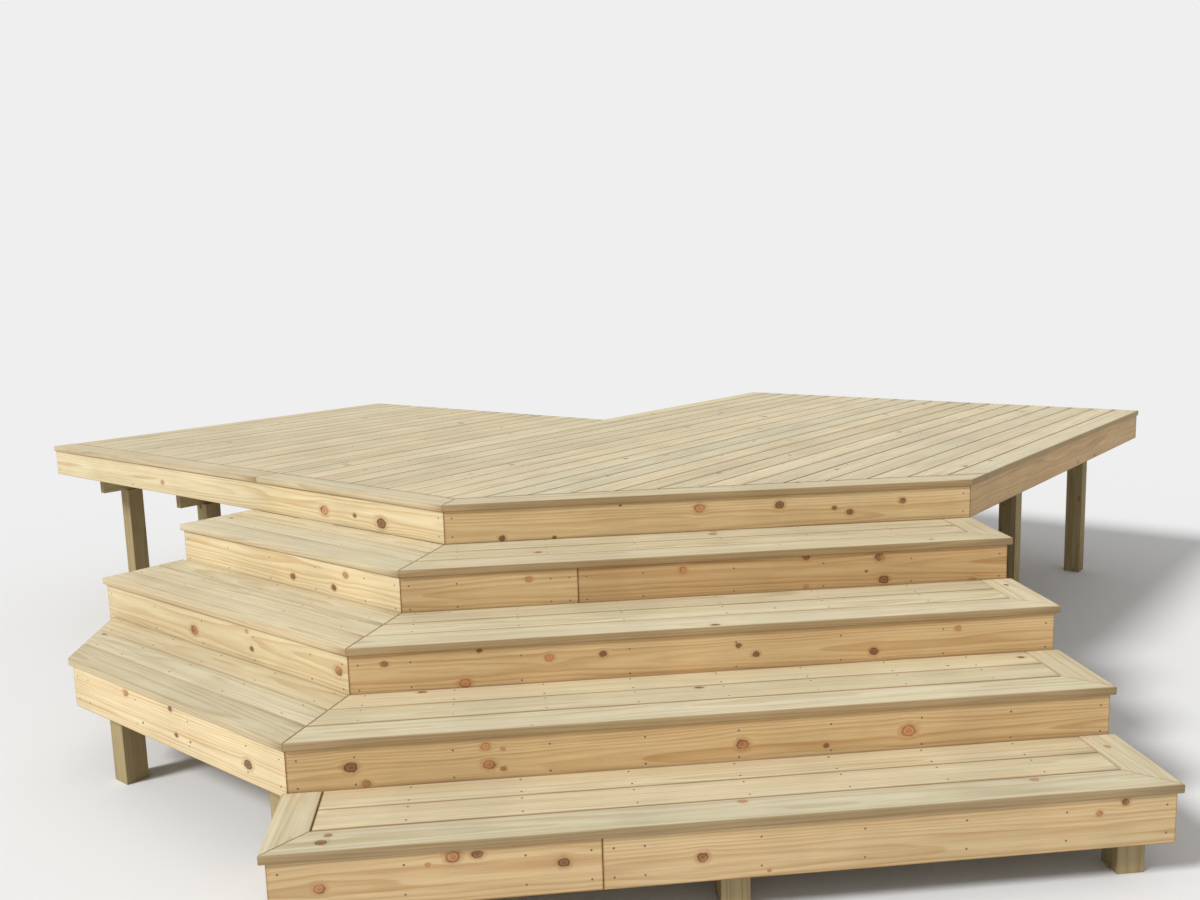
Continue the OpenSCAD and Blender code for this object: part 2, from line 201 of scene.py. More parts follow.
def carry(timber, arris, rng, wander):
    """The section at rings along the timber: s = start + f * (stop - start) at fraction f of its length, and
    one more ring beside each cut. The cup adds a random share of wander * (2t/width - 1)^2, up or down, and
    bow and crook are half waves with a random share of wander as their height."""
    across, drop = section(timber, arris)
    t = np.concatenate([across, across[::-1]])
    c = np.concatenate([timber.depth - drop, drop[::-1]])
    start, stop = timber.ends(t)
    f = np.linspace(0, 1, RINGS)[:, None]
    s = start + f * (stop - start)
    s = np.concatenate([s[:1], s[:1] + SANDED, s[1:-1], s[-1:] - SANDED, s[-1:]])
    wave = np.sin(math.pi * np.concatenate([[[0], [0]], f[1:-1], [[0], [0]]]))
    drawn = np.zeros((len(s), 1))
    drawn[[0, -1]] = SANDED
    bow, crook, cup = rng.uniform(-1, 1, 3) * wander
    t_in, c_in = np.clip(t, drawn, timber.width - drawn), np.clip(c, drawn, timber.depth - drawn)
    raised = c_in + cup * (2 * t / timber.width - 1) ** 2 + bow * wave
    points = timber.place(s, t_in + crook * wave, raised)
    k, ring = np.meshgrid(np.arange(len(t)), np.arange(len(s) - 1) * len(t))
    after = (k + 1) % len(t)
    following = ring + len(t)
    sides = np.stack([ring + k, following + k, following + after, ring + after], axis=-1).reshape(-1, 4)
    top = np.arange(len(across) - 1)
    low = len(t) - 1 - top
    cap = np.stack([top, top + 1, low - 1, low], axis=-1)
    faces = np.concatenate([sides, cap, cap[:, ::-1] + (len(s) - 1) * len(t)])
    on_end = np.concatenate([np.zeros(len(sides)), np.ones(2 * len(cap))])
    return points.reshape(-1, 3), faces, on_end, np.broadcast_arrays(s, t_in, c_in, start, stop)


around = 2 * len(section(sample, TREAD_ARRIS)[0])
print("its section has", around, "points and is carried over", RINGS + 2, "rings")

# %% [markdown]
# ## Where a board sat in its log
# Pine grain is the pattern that a flat cut makes through a log's yearly rings. If each point of a board
# knows its place in the log, one material can draw the arches on its face, the lines on its edge and the
# rings on its end, and they meet at the arrises as they do in real timber. So each timber gets a random
# pith line, and every corner stores its distance along and away from that line in an attribute named log. A
# second one, inset, holds the distances from both edges and from the nearest cut, so that dirt can gather
# there.

# %% Place in the log
LEAN = 0.012
PITH_ACROSS = 0.2, 0.8
PITH_THROUGH = 0.025, 0.10
LOG_LENGTH = 40


def in_log(timber, stc, rng):
    """Distance along the log, and across and through it from the pith line, which leans a little. And the
    insets: wide from one edge, size - wide from the other, and min(s - start, stop - s) from the cuts."""
    s, t, c, start, stop = stc
    wide, thin = (t, c) if timber.width >= timber.depth else (c, t)
    size = max(timber.width, timber.depth)
    lean = rng.uniform(-LEAN, LEAN, 2)
    pith = size * rng.uniform(*PITH_ACROSS), rng.choice([-1, 1]) * rng.uniform(*PITH_THROUGH)
    v = wide - pith[0] + lean[0] * (s - s.mean())
    w = thin - pith[1] + lean[1] * (s - s.mean())
    log = np.stack([s + rng.uniform(0, LOG_LENGTH), v, w], axis=-1)
    inset = np.stack([wide, size - wide, np.minimum(s - start, stop - s)], axis=-1)
    return log.reshape(-1, 3), inset.reshape(-1, 3)


# %% [markdown]
# ## One piece for each node
# The boards of a node are made one after another and joined as arrays before they go into a mesh, because
# one mesh of forty boards is lighter than forty objects. The faces are smooth, and edges sharper than 35
# degrees stay sharp, so the round arrises shade softly and the saw cuts stay crisp. A third attribute,
# tone, is the same over a whole timber: how light it is, how warm, and how knotty. A fourth marks the cut
# ends. Each kind of piece counts its seeds from a number of its own, so a new piece of one kind leaves the
# rest as they are.

# %% Make a piece of timbers
SEEDS = {"laid": 100, "fixed": 200, "sawn": 300, "square": 400, "nails": 500}
CRISP = math.radians(35)
PLANED_WANDER = 0.0004


def timber_piece(kind, i, node, material, arris, knots, wander=PLANED_WANDER):
    """One piece with all the timbers of a node, each with its own grain, which stands for that node. It is
    number i of its kind."""
    rng = np.random.default_rng(SEEDS[kind] + i)
    made = {"points": [], "faces": [], "cut_end": [], "log": [], "inset": [], "tone": []}
    count = 0
    for timber in timbers(node):
        points, quads, on_end, stc = carry(timber, arris, rng, wander)
        log, inset = in_log(timber, stc, rng)
        tone = np.tile([rng.random(), rng.random(), knots], (len(points), 1))
        for key, part in zip(made, (points, quads + count, on_end, log, inset, tone)):
            made[key].append(part)
        count += len(points)
    made = {key: np.concatenate(parts) for key, parts in made.items()}
    name = f"{kind}_{node}"
    mesh = bpy.data.meshes.new(name)
    mesh.from_pydata(made["points"], [], made["faces"])
    for key in ("log", "inset", "tone"):
        mesh.attributes.new(key, "FLOAT_VECTOR", "POINT").data.foreach_set("vector", made[key].ravel())
    mesh.attributes.new("cut_end", "FLOAT", "FACE").data.foreach_set("value", made["cut_end"])
    mesh.shade_smooth()
    mesh.set_sharp_from_angle(angle=CRISP)
    mesh.materials.append(material)
    piece = bpy.data.objects.new(name, mesh)
    bpy.context.scene.collection.objects.link(piece)
    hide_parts(node)
    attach(piece, "root")


# %% [markdown]
# ## Writing a material
# A node tree is easier to read as a line of sums than as a drawing. This small helper adds a shader node,
# sets its plain values and links the rest, and hands back the output that the next line needs. Colours are
# written as a paint chart gives them, from 0 to 255, and turned into the linear scale that shaders use.

# %% Shader helper
class Finish:
    """A new material whose nodes are added one line at a time."""

    def __init__(self, name):
        self.material = bpy.data.materials.new(name)
        self.material.use_nodes = True
        self.tree = self.material.node_tree
        self.shader = self.tree.nodes["Principled BSDF"].inputs

    def join(self, value, socket):
        """Links an output to a socket, or sets the socket to a plain value."""
        if isinstance(value, bpy.types.NodeSocket):
            self.tree.links.new(value, socket)
        else:
            socket.default_value = value

    def add(self, kind, values=(), out=0, **settings):
        """A node of a kind with its inputs, and the output asked for, or all of them when out is None."""
        made = self.tree.nodes.new("ShaderNode" + kind)
        for key, value in settings.items():
            setattr(made, key, value)
        pairs = values.items() if isinstance(values, dict) else enumerate(values)
        for key, value in pairs:
            self.join(value, made.inputs[key])
        return made.outputs if out is None else made.outputs[out]

    def sum(self, operation, *values):
        """A Math node."""
        return self.add("Math", values, operation=operation)

    def vector(self, operation, *values, out=0):
        """A Vector Math node."""
        return self.add("VectorMath", values, operation=operation, out=out)

    def split(self, vector):
        """The three parts of a vector."""
        return list(self.add("SeparateXYZ", (vector,), out=None))

    def stretch(self, u, v, w, along, across, **settings):
        """Noise that is drawn out along the timber: 1/along metres long and 1/across metres wide."""
        parts = [self.sum("MULTIPLY", a, b) for a, b in ((u, along), (v, across), (w, across))]
        return self.add("TexNoise", {"Vector": self.add("CombineXYZ", parts), "Scale": 1.0, **settings})

    def ramp(self, value, low, high, to_low=0.0, to_high=1.0):
        """A smooth step from to_low to to_high as value goes from low to high."""
        return self.add("MapRange", (value, low, high, to_low, to_high), interpolation_type="SMOOTHSTEP")

    def blend(self, factor, a, b, how="MIX"):
        """A colour mix. Inputs 6 and 7 and output 2 are the Mix node's colour sockets."""
        made = self.tree.nodes.new("ShaderNodeMix")
        made.data_type = "RGBA"
        made.blend_type = how
        for value, socket in ((factor, 0), (a, 6), (b, 7)):
            self.join(value, made.inputs[socket])
        return made.outputs[2]


def paint(red, green, blue):
    """A chart colour in the linear scale: ((x + 0.055) / 1.055)^2.4 for a part x between 0 and 1, or
    x / 12.92 where x is at most 0.04045."""
    chart = np.array([red, green, blue]) / 255
    linear = np.where(chart <= 0.04045, chart / 12.92, ((chart + 0.055) / 1.055) ** 2.4)
    return (*linear.tolist(), 1.0)


print("grey 128 on the chart is", round(paint(128, 128, 128)[0], 3), "in the linear scale")

# %% [markdown]
# ## Knots
# A knot is the foot of a branch: a red-brown disc with a dark rim and rings of its own, a little longer
# along the board than across it. The grain of the trunk parts round it as water parts round a post, and
# that flow has a short formula: the distance across from the knot's centre is multiplied by 1 - 1/reach^2,
# where reach is the distance from the centre counted in knot radii. Most knots are left to chance. A
# pattern of cells that is stretched along the log gives one cell to each possible knot, and the cell's
# random colour says whether it is there and how big. The knots that are known are put in by their place and
# radius.

# %% Knots by chance and knots by place
CELL = 0.34, 0.075
OVAL = 0.8
CHANCE_RADII = 0.004, 0.014
CLEAR_EDGE = 0.018
LEAST_RADIUS = 0.00001
NO_KNOT = 1000.0


def parted(f, across, reach):
    """What a knot takes off the distance across: across / max(reach, 1)^2."""
    return f.sum("DIVIDE", across, f.sum("POWER", f.sum("MAXIMUM", reach, 1.0), 2.0))


def chance_knots(f, u, v, knotty, edge):
    """Reach of the nearest chance knot, and what it takes off v. A knot is there where its cell's red is
    under knotty, and it shrinks to nothing as it comes near the board's edge."""
    cell = f.add("CombineXYZ", (f.sum("DIVIDE", u, CELL[0]), f.sum("DIVIDE", v, CELL[1])))
    knot = f.add("TexVoronoi", {"Vector": cell, "Scale": 1.0}, out=None, voronoi_dimensions="2D")
    there, size, _ = f.split(knot["Color"])
    away = f.vector("MULTIPLY", f.vector("SUBTRACT", cell, knot["Position"]), (CELL[0] * OVAL, CELL[1], 0))
    radius = f.sum("MULTIPLY", f.sum("GREATER_THAN", knotty, there), f.ramp(size, 0.0, 1.0, *CHANCE_RADII))
    radius = f.sum("MAXIMUM", f.sum("MULTIPLY", radius, f.ramp(edge, 0.0, CLEAR_EDGE)), LEAST_RADIUS)
    reach = f.sum("DIVIDE", f.vector("LENGTH", away, out="Value"), radius)
    return reach, parted(f, f.split(away)[1], reach)


def placed_knots(f, spots):
    """The same for knots at known places on boards that stand on edge, so that across is up."""
    here = f.add("TexCoord", out="Object")
    reach, pull = NO_KNOT, 0.0
    for centre, radius in spots:
        away = f.vector("MULTIPLY", f.vector("SUBTRACT", here, centre), (OVAL, OVAL, 1))
        near = f.sum("DIVIDE", f.vector("LENGTH", away, out="Value"), radius)
        reach = f.sum("MINIMUM", reach, near)
        pull = f.sum("ADD", pull, parted(f, f.split(away)[2], near))
    return reach, pull


# %% [markdown]
# ## Rings, fibres and checks
# Each ring of pine starts pale and soft and ends in a thin, darker line, so the ring pattern is a saw-tooth
# of the distance from the pith. A slow noise along the log bends it into arches, and some years are fainter
# than others. Fibres are noise that is some eighty times longer than wide. Sawn timber that has dried
# outdoors also has checks: short dark cracks along the grain, which are the places where a stretched noise
# crosses its own middle value. A blade leaves fine strokes across the timber, some 4 mm apart, and they are
# a sine wave along it that slants and wavers a little.

# %% Rings, checks and strokes
YEAR = 0.011
BEND = 0.05
STROKES, SLANT, WAVER = 1500.0, 240.0, 14.0


def late_wood(f, u, v, w):
    """How far into a ring's dark late wood a point is: a ramp of fract(years), where years is
    (sqrt(v^2 + w^2) + BEND * (noise - 0.5)) / YEAR, times the strength of that year."""
    bend = f.stretch(u, v, w, 0.9, 9.0, Detail=2.0, Roughness=0.45)
    pith = f.sum("SQRT", f.sum("ADD", f.sum("POWER", v, 2.0), f.sum("POWER", w, 2.0)))
    years = f.sum("DIVIDE", f.sum("ADD", pith, f.sum("MULTIPLY", f.sum("SUBTRACT", bend, 0.5), BEND)), YEAR)
    tooth = f.sum("FRACT", years)
    year = f.add("TexWhiteNoise", {"W": f.sum("FLOOR", years)}, noise_dimensions="1D")
    late = f.sum("MULTIPLY", f.ramp(tooth, 0.25, 0.90), f.ramp(tooth, 0.92, 1.0, 1.0, 0.0))
    return f.sum("MULTIPLY", late, f.ramp(year, 0.0, 1.0, 0.45, 1.0))


def checks(f, u, v, w):
    """Cracks where |noise - 0.5| is under about 0.006, kept only in patches that a second noise chooses."""
    line = f.sum("ABSOLUTE", f.sum("SUBTRACT", f.stretch(u, v, w, 1.6, 45.0, Detail=1.0), 0.5))
    patch = f.ramp(f.stretch(u, v, w, 1.1, 6.0, Detail=0.0), 0.52, 0.62)
    return f.sum("MULTIPLY", f.ramp(line, 0.003, 0.009, 1.0, 0.0), patch)


def saw_strokes(f, u, v, w, band):
    """sin(STROKES u + SLANT (v + w) + WAVER band), where u, v and w are in metres."""
    stroke = f.sum("ADD", f.sum("MULTIPLY", u, STROKES), f.sum("MULTIPLY", f.sum("ADD", v, w), SLANT))
    return f.sum("SINE", f.sum("ADD", stroke, f.sum("MULTIPLY", band, WAVER)))


print("the saw's strokes are", round(2000 * math.pi / STROKES, 1), "mm apart")

# %% [markdown]
# ## The wood's colours, and painted sunlight
# A board's warmth mixes a straw colour and a honey colour. The key light comes from the left here, and
# upright boards that are turned to the left mix two paler ones instead: that is painted sunlight, not the
# wood's own colour. Treated pine also has slow bands of pale green. The dark part of each ring is that
# colour times a tint, so rings suit the board they are on.

# %% Early and late wood
GREEN = paint(205, 208, 164)


def wood_colours(f, log, warm, sun, fresh, sunlit_paints, green, late_tint):
    """The early wood, a mix by warm that turns to a paler mix on faces turned to the left, as painted
    sunlight, and is greened by a noise, and the late wood, which is the early wood times late_tint."""
    early = f.blend(warm, *fresh)
    # Faces turned to the left take the paler paints: painted sunlight, not the wood's own colour.
    if sunlit_paints:
        early = f.blend(sun, early, f.blend(warm, *sunlit_paints))
    bands = f.ramp(f.stretch(*log, 0.7, 14.0, Detail=1.0), 0.45, 0.7, 0.0, green)
    early = f.blend(bands, early, GREEN)
    return early, f.blend(1.0, early, late_tint, "MULTIPLY")


# %% [markdown]
# ## Age, dirt and painted shade
# No two boards are equally light, and neither are the fibres of one board. Faint damp patches half a metre
# wide lie across several boards at once, so they are noise on the place and not on the log. Brown is mixed
# in within a few millimetres of each edge and cut: dirt where water sits between the boards, and painted
# shade in the gaps. The whole edge of a nosing takes it too, as painted shade that keeps it browner than the
# tread, and faces turned to the left keep less of it, as painted sunlight.

# %% Age, dirt and painted shade
# Brown mixed in at edges and cuts: dirt, and painted shade in the gaps and on the nosing faces.
DIRT_AND_SHADE = paint(202, 183, 162)
DIRT_AND_SHADE_WIDTH = 0.006


def aged_and_shaded(f, colour, light, fibre, near_edge, sun, grime_and_shade, sunlit_share):
    """The colour times its shades for fibre, board and damp, and then times a brown of soiling and painted
    shade to a share. That falls smoothly from its full share at an edge to nothing a few millimetres in, and
    on faces turned to the left only a part of it is left, as painted sunlight."""
    here = f.add("TexCoord", out="Object")
    damp = f.add("TexNoise", {"Vector": here, "Scale": 2.4, "Detail": 3.0, "Roughness": 0.55})
    shade = f.sum("MULTIPLY", f.ramp(fibre, 0.25, 0.75, 0.88, 1.07), f.ramp(light, 0.0, 1.0, 0.92, 1.04))
    shade = f.sum("MULTIPLY", shade, f.ramp(damp, 0.36, 0.6, 0.94, 1.02))
    colour = f.blend(1.0, colour, f.add("CombineXYZ", (shade,) * 3), "MULTIPLY")
    # Within a few millimetres of an edge: dirt and painted shade; less on faces turned to the left, as
    # painted sunlight.
    dirt_and_shade = f.ramp(near_edge, 0.0, DIRT_AND_SHADE_WIDTH, grime_and_shade, 0.0)
    dirt_and_shade = f.sum("MULTIPLY", dirt_and_shade, f.ramp(sun, 0.0, 1.0, 1.0, sunlit_share))
    return f.blend(dirt_and_shade, colour, f.blend(1.0, colour, DIRT_AND_SHADE, "MULTIPLY"))


# %% [markdown]
# ## A knot's colours
# A slow noise gives each knot its own colour between brown and amber. Amber knots are sound wood and show
# their rings, and brown ones are nearly plain but darker at the rim and the centre, where bark has grown
# in. A warm halo of resin lies round them all. Everything here is a ramp of reach, so it follows each
# knot's size, and a fine noise on reach keeps the outlines from being true ovals.

# %% Knot colours
BROWN = paint(124, 82, 50)
AMBER = paint(192, 124, 82)
BARK = paint(66, 38, 22)
KNOT_RINGS = 14.0


def uneven(f, log, reach):
    """Reach times a fine noise, so that an outline swells and shrinks by about a seventh."""
    return f.sum("MULTIPLY", reach, f.ramp(f.stretch(*log, 60, 60, Detail=1.0), 0.2, 0.8, 0.87, 1.15))


def knotted(f, log, reach, colour, early, late):
    """The colour with knots in it: the halo ends at reach 2.1, the disc at 1, its rings are
    sin(KNOT_RINGS * reach), and bark lies at its rim and its centre."""
    sound = f.ramp(f.stretch(*log, 9.0, 9.0, Detail=0.0), 0.38, 0.62)
    heart = f.blend(sound, BROWN, AMBER)
    rings = f.ramp(f.sum("SINE", f.sum("MULTIPLY", reach, KNOT_RINGS)), -1.0, 1.0)
    rings = f.sum("MULTIPLY", rings, f.ramp(sound, 0.0, 1.0, 0.18, 0.4))
    colour = f.blend(f.ramp(reach, 1.0, 2.1, 0.5, 0.0), colour, f.blend(0.3, late, heart))
    colour = f.blend(f.ramp(reach, 0.84, 1.06, 1.0, 0.0), colour, f.blend(rings, heart, early))
    rim = f.sum("MULTIPLY", f.ramp(reach, 0.70, 0.93), f.ramp(reach, 0.95, 1.15, 1.0, 0.0))
    bark = f.sum("MAXIMUM", rim, f.ramp(reach, 0.05, 0.25, 1.0, 0.0))
    return f.blend(f.sum("MULTIPLY", bark, f.ramp(sound, 0.0, 1.0, 0.6, 0.35)), colour, BARK)


# %% [markdown]
# ## Pine
# The parts come together in one material with a few settings. The log attribute drives the rings, fibres
# and knots, inset the dirt and painted shade at the edges, and tone the mix of colours. A face counts as
# turned to the left where its normal points that way, and there paler paints and less edge brown stand
# for sunlight, which is painted light. A cut end is darkened a little, because end grain drinks more. The
# bump uses real heights in metres: rings and fibres stand up by a tenth of a millimetre at most, the saw's
# strokes by a little more, and the checks go in by about half a millimetre.

# %% Pine material
TO_THE_LEFT = -0.7, -0.3
RING_SHARE = 0.5
END_SHARE = 0.35
CRACK_SHARE = 0.7
RING_HEIGHT, FIBRE_HEIGHT, CRACK_DEPTH = 0.00008, 0.00010, 0.0006
PLANED_ROUGH, SAWN_ROUGH = 0.64, 0.82


def pine(name, fresh, late_tint, seed, sunlit_paints=(), green=0.17, grime_and_shade=1.0, sunlit_share=1.0, sawn=0.0, spots=()):
    """Pine between two fresh colours, or two paler ones on faces turned to the left, as painted sunlight,
    where the brown at the edges is also cut to a share. late_tint multiplies the colour in the dark part of
    a ring, and green is the share of green in its bands. A further share sets how much brown, of soiling and
    painted shade, lies at an edge. sawn is the height of the saw's strokes in metres. seed moves the noises
    along the log, and spots are the known knots."""
    f = Finish(name)
    u, v, w = f.split(f.add("Attribute", attribute_name="log", out="Vector"))
    light, warm, knotty = f.split(f.add("Attribute", attribute_name="tone", out="Vector"))
    low, high, cut = f.split(f.add("Attribute", attribute_name="inset", out="Vector"))
    on_end = f.add("Attribute", attribute_name="cut_end", out="Fac")
    # Faces turned to the left: the mask for painted sunlight, which gives paler paints and less edge brown.
    sun = f.ramp(f.split(f.add("NewGeometry", out="Normal"))[0], *TO_THE_LEFT, 1.0, 0.0)
    u, edge = f.sum("ADD", u, seed), f.sum("MINIMUM", low, high)
    log = u, v, w

    reach, pull = chance_knots(f, u, v, knotty, edge)
    if spots:
        near, draw = placed_knots(f, spots)
        reach, pull = f.sum("MINIMUM", reach, near), f.sum("ADD", pull, draw)
    reach = uneven(f, log, reach)
    rings = late_wood(f, u, f.sum("SUBTRACT", v, pull), w)
    fibre = f.stretch(*log, 5.0, 420.0, Detail=3.0, Roughness=0.6)
    band = f.stretch(*log, 1.3, 34.0, Detail=2.0)

    early, late = wood_colours(f, log, warm, sun, fresh, sunlit_paints, green, late_tint)
    share = f.sum("ADD", f.sum("MULTIPLY", rings, RING_SHARE), f.ramp(band, 0.35, 0.75, 0.0, 0.3))
    colour = f.blend(f.sum("MINIMUM", share, 1.0), early, late)
    colour = aged_and_shaded(f, colour, light, fibre, f.sum("MINIMUM", edge, cut), sun, grime_and_shade, sunlit_share)
    colour = f.blend(f.sum("MULTIPLY", on_end, END_SHARE), colour, f.blend(0.5, late, BROWN))
    colour = knotted(f, log, reach, colour, early, late)

    height = f.sum("ADD", f.sum("MULTIPLY", rings, RING_HEIGHT), f.sum("MULTIPLY", fibre, FIBRE_HEIGHT))
    if sawn:
        crack = checks(f, *log)
        colour = f.blend(f.sum("MULTIPLY", crack, CRACK_SHARE), colour, BARK)
        height = f.sum("ADD", height, f.sum("MULTIPLY", saw_strokes(f, *log, band), sawn))
        height = f.sum("SUBTRACT", height, f.sum("MULTIPLY", crack, CRACK_DEPTH))
    f.join(colour, f.shader["Base Color"])
    f.join(f.add("Bump", {"Height": height, "Distance": 1.0, "Strength": 1.0}), f.shader["Normal"])
    rough = SAWN_ROUGH if sawn else PLANED_ROUGH
    f.join(f.ramp(f.sum("ADD", rings, fibre), 0.3, 1.4, rough + 0.08, rough - 0.1), f.shader["Roughness"])
    f.shader["Specular IOR Level"].default_value = 0.3
    return f.material


# %% [markdown]
# ## The knots that are known
# The risers and the fascia have a few large knots each, and those give them their look. They are listed as
# a joiner would note them: how far from the turn, how far below the tread, and the knot's radius, all in
# metres. The first distance is more than nought to the right of the turn, on the flight, and less than
# nought to its left, on the wing.

# %% Known knots
SEEN = {
    "step_1_riser": [(0.16, 0.097, 0.015), (0.58, 0.025, 0.018), (0.50, 0.046, 0.006), (0.93, 0.074, 0.015),
                     (1.38, 0.096, 0.015), (1.60, 0.160, 0.005), (2.73, 0.052, 0.009), (2.82, 0.020, 0.011)],
    "step_2_riser": [(0.22, 0.077, 0.018), (0.27, 0.140, 0.012), (0.69, 0.035, 0.013), (0.70, 0.101, 0.017),
                     (0.75, 0.121, 0.008), (0.75, 0.047, 0.006), (1.61, 0.094, 0.018), (1.92, 0.121, 0.008),
                     (2.23, 0.086, 0.021)],
    "step_3_riser": [(0.44, 0.138, 0.017), (0.50, 0.010, 0.008), (0.77, 0.056, 0.014), (0.98, 0.054, 0.012),
                     (1.59, 0.095, 0.011), (2.07, 0.113, 0.014), (2.42, 0.040, 0.010)],
    "step_4_riser": [(1.20, 0.035, 0.012), (1.74, 0.008, 0.012), (1.74, 0.140, 0.008), (2.01, 0.086, 0.005),
                     (2.07, 0.025, 0.016), (2.09, 0.128, 0.017)],
    "deck_fascia": [(0.26, 0.138, 0.012), (0.50, 0.147, 0.007), (1.18, 0.044, 0.019), (1.56, 0.047, 0.017),
                    (1.90, 0.097, 0.013), (-0.44, 0.105, 0.026), (-0.64, 0.090, 0.010),
                    (-0.88, 0.090, 0.022)],
    "step_2_wing_riser": [(-0.23, 0.110, 0.018), (-0.71, 0.116, 0.009), (-0.74, 0.016, 0.010),
                          (-1.08, 0.026, 0.013)],
    "step_3_wing_riser": [(-0.06, 0.072, 0.017), (-0.64, 0.094, 0.010), (-1.08, 0.092, 0.020)],
    "step_4_wing_riser": [(-0.36, 0.043, 0.013), (-0.45, 0.113, 0.013), (-0.75, 0.106, 0.014)],
}
TO_THE_RIGHT, FORWARDS = 0.99, -0.5


def knot_spots(node):
    """The centre of each known knot of a node on the boards' front face, and its radius. The flight's boards
    run to the right, and the wing's boards run to the right and forwards, up to the turn."""
    spots = []
    for wing in (False, True):
        boards = [b for b in timbers(node)
                  if (b.axes[0, 1] < FORWARDS if wing else b.axes[0, 0] > TO_THE_RIGHT)]
        knots = np.array([knot for knot in SEEN[node] if (knot[0] < 0) == wing])
        if len(knots):
            turn = max(b.ends(0)[1] for b in boards) if wing else min(b.ends(0)[0] for b in boards)
            along, below, radius = knots.T
            centres = boards[0].place(turn + along, 0.0 * along, boards[0].depth - below)
            spots += zip(centres.tolist(), radius.tolist())
    return spots


print("known knots:", {node: len(knot_spots(node)) for node in SEEN})

# %% [markdown]
# ## The finishes
# The treads and the deck are treated pine that still has its pale, faintly green cast. The risers and
# fascia boards are warmer and knottier, and their faces that turn to the left are painted a paler straw,
# as painted sunlight. Joists and bearers are rough sawn, and so are the posts, which have weathered a
# little darker. Each node with known knots has a finish of its own, so that no material grows too large.

# %% Make the finishes
LATE = paint(216, 200, 172)
WARM_LATE = paint(212, 184, 148)
TREAD = paint(223, 213, 183), paint(225, 210, 176)
RISER = paint(220, 194, 148), paint(212, 177, 127)
# Paler paints for riser faces turned to the left: painted sunlight, not the wood's own colour.
SUNNY_RISER = paint(230, 217, 178), paint(226, 207, 166)
FRESH_SAWN = paint(192, 178, 138), paint(186, 166, 122)
GREYED = paint(180, 166, 128), paint(172, 152, 112)
# On the treads, faces turned to the left keep 0.35 of the edge brown: painted sunlight on the wing's
# nosings.
tread_pine = pine("tread_pine", TREAD, LATE, 0.0, sunlit_share=0.35)
panel_pine = pine("panel_pine", RISER, WARM_LATE, 7.0, SUNNY_RISER, green=0.0)
riser_pine = {
    n: pine(f"{n}_pine", RISER, WARM_LATE, 9.0, SUNNY_RISER, green=0.0, spots=knot_spots(n)) for n in SEEN}
joist_pine = pine("joist_pine", FRESH_SAWN, LATE, 3.0, grime_and_shade=0.25, sawn=0.00012)
post_pine = pine("post_pine", GREYED, LATE, 5.0, grime_and_shade=0.25, sawn=0.00015)
print("finishes:", len(bpy.data.materials), "and the treads' has", len(tread_pine.node_tree.nodes), "nodes")

# %% [markdown]
# ## Treads and deck boards
# These are planed with a rounded arris along each long edge, about 4 mm in radius. That round is what
# catches the light along every nosing and turns each gap into a soft dark line. Boards to walk on are
# picked for having few knots.

# %% Lay the boards
FEW_KNOTS = 0.08
nodes = list(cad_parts)
board_nodes = [n for n in nodes if n.endswith(("boards", "end_board", "border"))]
for i, n in enumerate(board_nodes):
    timber_piece("laid", i, n, tread_pine, TREAD_ARRIS, FEW_KNOTS)
print(len(board_nodes), "pieces of laid boards")

# %% [markdown]
# ## Risers, end panels and fascia
# They are thinner boards on edge with a sharp arris, just broken with sandpaper. Boards with known knots
# already have them in their finish, so few more are left to chance there.

# %% Fix the risers
RISER_ARRIS = 0.0012
MORE_KNOTS = 0.35
riser_nodes = [n for n in nodes if n.endswith(("riser", "panels", "fascia"))]
for i, n in enumerate(riser_nodes):
    finish, knots = (riser_pine[n], FEW_KNOTS) if n in SEEN else (panel_pine, MORE_KNOTS)
    timber_piece("fixed", i, n, finish, RISER_ARRIS, knots)
print(len(riser_nodes), "pieces of risers and panels")

# %% [markdown]
# ## The frame
# Joists, rims, bearers, ledgers and posts come off the saw with square edges, so their arris is small, and
# they wander less than thin boards do.

# %% Stand the frame
JOIST_ARRIS, POST_ARRIS = 0.0015, 0.002
SAWN_WANDER = 0.0002
SAWN_KNOTS = 0.3
post_nodes = [n for n in nodes if n.endswith("posts")]
joist_nodes = [n for n in nodes if n not in board_nodes + riser_nodes + post_nodes]
for i, n in enumerate(joist_nodes):
    timber_piece("sawn", i, n, joist_pine, JOIST_ARRIS, SAWN_KNOTS, SAWN_WANDER)
for i, n in enumerate(post_nodes):
    timber_piece("square", i, n, post_pine, POST_ARRIS, SAWN_KNOTS, SAWN_WANDER)
print(len(joist_nodes), "pieces of joists and", len(post_nodes), "of posts")

# %% [markdown]
# ## Where the nails go
# A carpenter drives two nails wherever a board crosses a joist, and two near each end of a riser. In plan a
# timber's middle line is all the points that lie t2 across from the origin, so the place where another line
# crosses it comes from one division. The same sum finds the nails of a riser, which stands in front of the
# joists' ends. A nail keeps clear of the saw cuts and of the pair beside it, and joists that run nearly the
# same way as the board are passed over.

# %% Find the nails
NAIL_EDGE = 0.022
RISER_ROWS = 0.22, 0.78
END_NAIL = 0.035
CLEAR_CUT = 0.012
APART = 0.05
CROSSES = 0.3


def crossing(board, joist, t):
    """s along the board where its line t crosses the joist's middle line t2, s = (t2 - t b.b2) / (a.b2), and
    the distance along the joist, r = s a.a2 + t b.a2, with a along and b across each timber."""
    a, b, a2, b2 = *board.axes[:2, :2], *joist.axes[:2, :2]
    s = (joist.t0 + joist.width / 2 - t * (b @ b2)) / (a @ b2)
    return s, s * (a @ a2) + t * (b @ a2)


